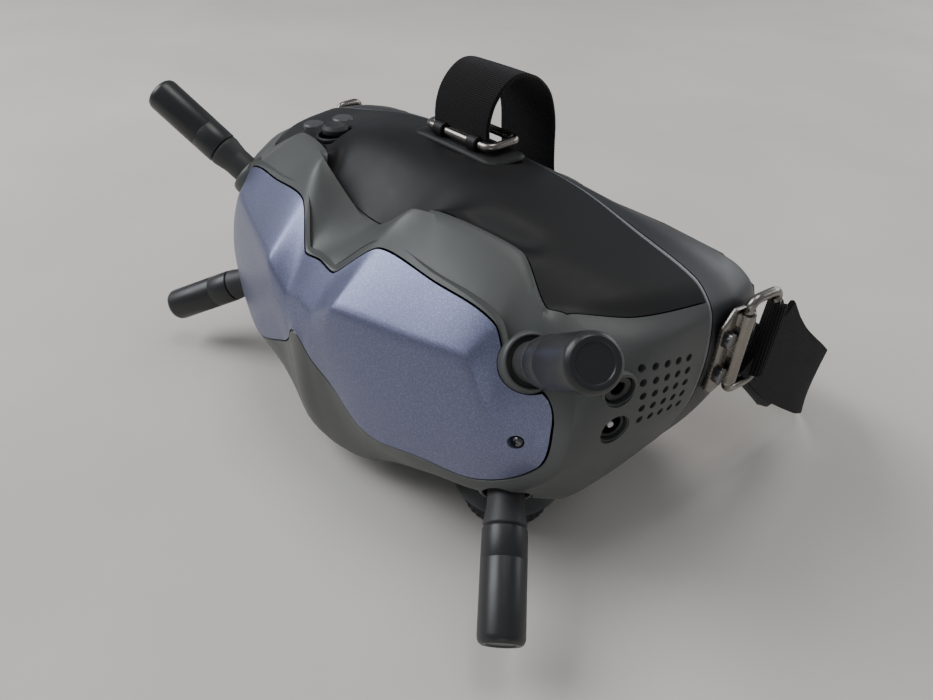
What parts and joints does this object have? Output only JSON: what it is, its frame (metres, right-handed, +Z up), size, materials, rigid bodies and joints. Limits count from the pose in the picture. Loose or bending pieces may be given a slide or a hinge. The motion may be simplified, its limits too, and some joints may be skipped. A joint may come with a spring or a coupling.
{
  "type": "fpv goggles",
  "caption": "Head-worn first person view goggles with sliding eyepieces, screw-on stub antennas, a side air grille, sockets, a face pad and elastic head straps.",
  "frame": {"origin": "on the standing surface, under the middle of the whole assembly's box", "axes": "+Z up, -Y the front that faces away from the wearer, +X the side with the round ports and the air grille"},
  "size_m": [0.204, 0.164, 0.1155],
  "materials": {
    "frame_grey": "satin",
    "plate_blue": "metallic satin",
    "cover_black": "satin",
    "rear_black": "satin",
    "trim_grey": "satin",
    "inner_black": "matte",
    "knob_black": "satin",
    "lens_glass": "clear",
    "screen_black": "gloss",
    "window_dark": "gloss",
    "rod_steel": "brushed",
    "board_green": "satin",
    "sink_aluminium": "satin",
    "socket_black": "satin",
    "antenna_neck_black": "matte",
    "antenna_black": "satin",
    "socket_brass": "satin",
    "button_grey": "satin",
    "joystick_black": "matte",
    "hardware_steel": "satin",
    "screw_steel": "satin",
    "foam_fabric": "matte",
    "strap_elastic": "matte",
    "joiner_black": "satin"
  },
  "bodies": {
    "housing": {"front_frame": "frame_grey", "lower_shell": "frame_grey", "front_plate": "plate_blue", "top_cover": "cover_black", "top_mount": "cover_black", "rear_shell": "rear_black", "trim_line": "trim_grey", "inner_panel": "inner_black", "fan_housing": "inner_black", "foam_flange": "inner_black", "channel_display": "screen_black", "channel_window": "window_dark", "guide_rods": "rod_steel", "grille_mesh": "rod_steel", "data_socket": "rod_steel", "card_reader": "rod_steel", "main_board": "board_green", "heat_sink": "sink_aluminium", "audio_socket": "socket_black", "power_socket": "socket_black", "antenna_sockets": "socket_brass", "side_bracket_right": "hardware_steel", "side_bracket_left": "hardware_steel", "bracket_screws": "hardware_steel", "plate_screws": "screw_steel", "face_foam": "foam_fabric", "top_strap": "strap_elastic", "side_strap_right": "strap_elastic", "side_strap_left": "strap_elastic", "strap_joiner": "joiner_black"},
    "eye_right": {"eye_barrel_right": "inner_black", "eye_lens_right": "lens_glass", "eye_screen_right": "screen_black", "eye_carrier_right": "inner_black", "eye_knob_right": "knob_black"},
    "eye_left": {"eye_barrel_left": "inner_black", "eye_lens_left": "lens_glass", "eye_screen_left": "screen_black", "eye_carrier_left": "inner_black", "eye_knob_left": "knob_black"},
    "antenna_top_right": {"antenna_foot_top_right": "antenna_neck_black", "antenna_sleeve_top_right": "antenna_black"},
    "antenna_top_left": {"antenna_foot_top_left": "antenna_neck_black", "antenna_sleeve_top_left": "antenna_black"},
    "antenna_low_right": {"antenna_foot_low_right": "antenna_neck_black", "antenna_sleeve_low_right": "antenna_black"},
    "antenna_low_left": {"antenna_foot_low_left": "antenna_neck_black", "antenna_sleeve_low_left": "antenna_black"},
    "record_button": {"record_button": "button_grey"},
    "back_button": {"back_button": "button_grey"},
    "channel_up_button": {"channel_up_button": "button_grey"},
    "channel_down_button": {"channel_down_button": "button_grey"},
    "link_button": {"link_button": "button_grey"},
    "joystick_plunger": {"joystick_plunger": "joystick_black"},
    "joystick_yoke": {"joystick_yoke": "joystick_black"},
    "joystick_cap": {"joystick_cap": "joystick_black"},
    "fan_rotor": {"fan_rotor": "inner_black"},
    "top_ring": {"top_ring": "hardware_steel"},
    "side_ring_right": {"side_ring_right": "hardware_steel"},
    "side_ring_left": {"side_ring_left": "hardware_steel"}
  },
  "joints": [
    {"name": "eye_distance_right", "type": "slide", "parent": "housing", "child": "eye_right", "axis": [1, 0, 0], "range_m": [-0.003, 0.003]},
    {"name": "eye_distance_left", "type": "slide", "parent": "housing", "child": "eye_left", "axis": [-1, 0, 0], "range_m": [-0.003, 0.003]},
    {"name": "antenna_top_right_pull", "type": "slide", "parent": "housing", "child": "antenna_top_right", "axis": [0.7069, -0.3779, 0.5979], "range_m": [0, 0.011]},
    {"name": "antenna_top_left_pull", "type": "slide", "parent": "housing", "child": "antenna_top_left", "axis": [-0.7069, -0.3779, 0.5979], "range_m": [0, 0.011]},
    {"name": "antenna_low_right_pull", "type": "slide", "parent": "housing", "child": "antenna_low_right", "axis": [0.657, -0.632, -0.411], "range_m": [0, 0.011]},
    {"name": "antenna_low_left_pull", "type": "slide", "parent": "housing", "child": "antenna_low_left", "axis": [-0.657, -0.632, -0.411], "range_m": [0, 0.011]},
    {"name": "record_press", "type": "slide", "parent": "housing", "child": "record_button", "axis": [0, 0, -1], "range_m": [0, 0.001], "stiffness_N_per_m": 900},
    {"name": "back_press", "type": "slide", "parent": "housing", "child": "back_button", "axis": [0, 0, -1], "range_m": [0, 0.001], "stiffness_N_per_m": 900},
    {"name": "channel_up_press", "type": "slide", "parent": "housing", "child": "channel_up_button", "axis": [1, 0, 0], "range_m": [0, 0.0008], "stiffness_N_per_m": 900},
    {"name": "channel_down_press", "type": "slide", "parent": "housing", "child": "channel_down_button", "axis": [1, 0, 0], "range_m": [0, 0.0008], "stiffness_N_per_m": 900},
    {"name": "link_press", "type": "slide", "parent": "housing", "child": "link_button", "axis": [1, 0, 0], "range_m": [0, 0.0008], "stiffness_N_per_m": 900},
    {"name": "joystick_press", "type": "slide", "parent": "housing", "child": "joystick_plunger", "axis": [0, 0, -1], "range_m": [0, 0.0005], "stiffness_N_per_m": 1200},
    {"name": "joystick_tilt_fore", "type": "hinge", "parent": "joystick_plunger", "child": "joystick_yoke", "pos_m": [-0.04, -0.03116, 0.0852], "axis": [1, 0, 0], "range_deg": [-8, 8], "stiffness_Nm_per_rad": 0.02},
    {"name": "joystick_tilt_side", "type": "hinge", "parent": "joystick_yoke", "child": "joystick_cap", "pos_m": [-0.04, -0.03116, 0.0852], "axis": [0, 1, 0], "range_deg": [-8, 8], "stiffness_Nm_per_rad": 0.02},
    {"name": "fan_spin", "type": "hinge", "parent": "housing", "child": "fan_rotor", "pos_m": [0.072, -0.01676, 0.06], "axis": [1, 0, 0], "continuous": true},
    {"name": "top_ring_swing", "type": "hinge", "parent": "housing", "child": "top_ring", "pos_m": [0, -0.01316, 0.0972], "axis": [1, 0, 0], "range_deg": [0, 25]},
    {"name": "side_ring_right_swing", "type": "hinge", "parent": "housing", "child": "side_ring_right", "pos_m": [0.0937, 0.00284, 0.065], "axis": [0, 0, 1], "range_deg": [-45, 6]},
    {"name": "side_ring_left_swing", "type": "hinge", "parent": "housing", "child": "side_ring_left", "pos_m": [-0.0937, 0.00284, 0.065], "axis": [0, 0, -1], "range_deg": [-45, 6]}
  ]
}
